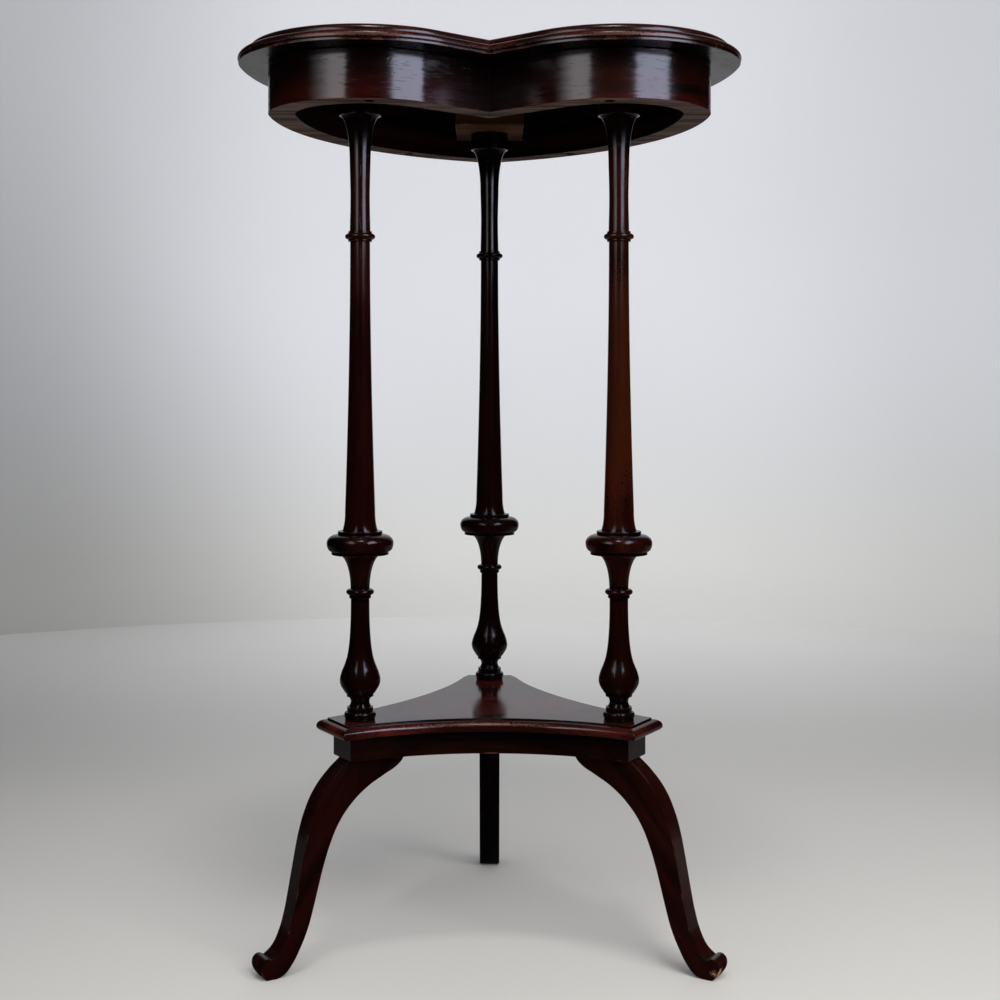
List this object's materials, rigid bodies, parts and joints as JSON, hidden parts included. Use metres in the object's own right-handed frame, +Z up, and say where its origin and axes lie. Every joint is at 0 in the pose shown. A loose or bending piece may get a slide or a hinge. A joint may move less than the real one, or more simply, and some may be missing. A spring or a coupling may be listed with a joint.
{
  "type": "side table",
  "caption": "Heart-shaped occasional table: moulded top on a plain curved frieze, turned columns, moulded hollow-sided shelf, splayed S-curved legs with rolled toes.",
  "frame": {"origin": "on the floor under the middle of the top's bounding box, which is also the whole table's", "axes": "+Z up, +X to the right of someone who faces the cusp of the heart, +Y from the cusp to the soft point at the back"},
  "size_m": [0.4128, 0.3972, 0.745],
  "materials": {
    "polished_mahogany": "French-polished dark red-brown mahogany, glossy",
    "dark_polished_mahogany": "French-polished near-black red-brown mahogany, glossy",
    "bare_bearer_wood": "bare sawn light brown wood, matt",
    "dowel_wood": "bare pale hardwood, matt",
    "steel": "old dull steel"
  },
  "bodies": {
    "root": {"tabletop": "polished_mahogany", "frieze_left": "polished_mahogany", "frieze_right": "polished_mahogany", "shelf_board": "polished_mahogany", "column_left": "dark_polished_mahogany", "column_right": "dark_polished_mahogany", "column_back": "dark_polished_mahogany", "shelf_block": "dark_polished_mahogany", "leg_left": "dark_polished_mahogany", "leg_right": "dark_polished_mahogany", "leg_back": "dark_polished_mahogany", "bearer_left": "bare_bearer_wood", "bearer_right": "bare_bearer_wood", "bearer_back": "bare_bearer_wood", "frieze_screw_1": "steel", "frieze_screw_2": "steel", "frieze_screw_3": "steel", "frieze_screw_4": "steel", "shelf_screw_1": "steel", "shelf_screw_2": "steel", "shelf_screw_3": "steel", "shelf_screw_4": "steel", "shelf_screw_5": "steel", "shelf_screw_6": "steel", "leg_dowel_1": "dowel_wood", "leg_dowel_2": "dowel_wood", "leg_dowel_3": "dowel_wood", "leg_dowel_4": "dowel_wood", "leg_dowel_5": "dowel_wood", "leg_dowel_6": "dowel_wood"}
  },
  "joints": []
}
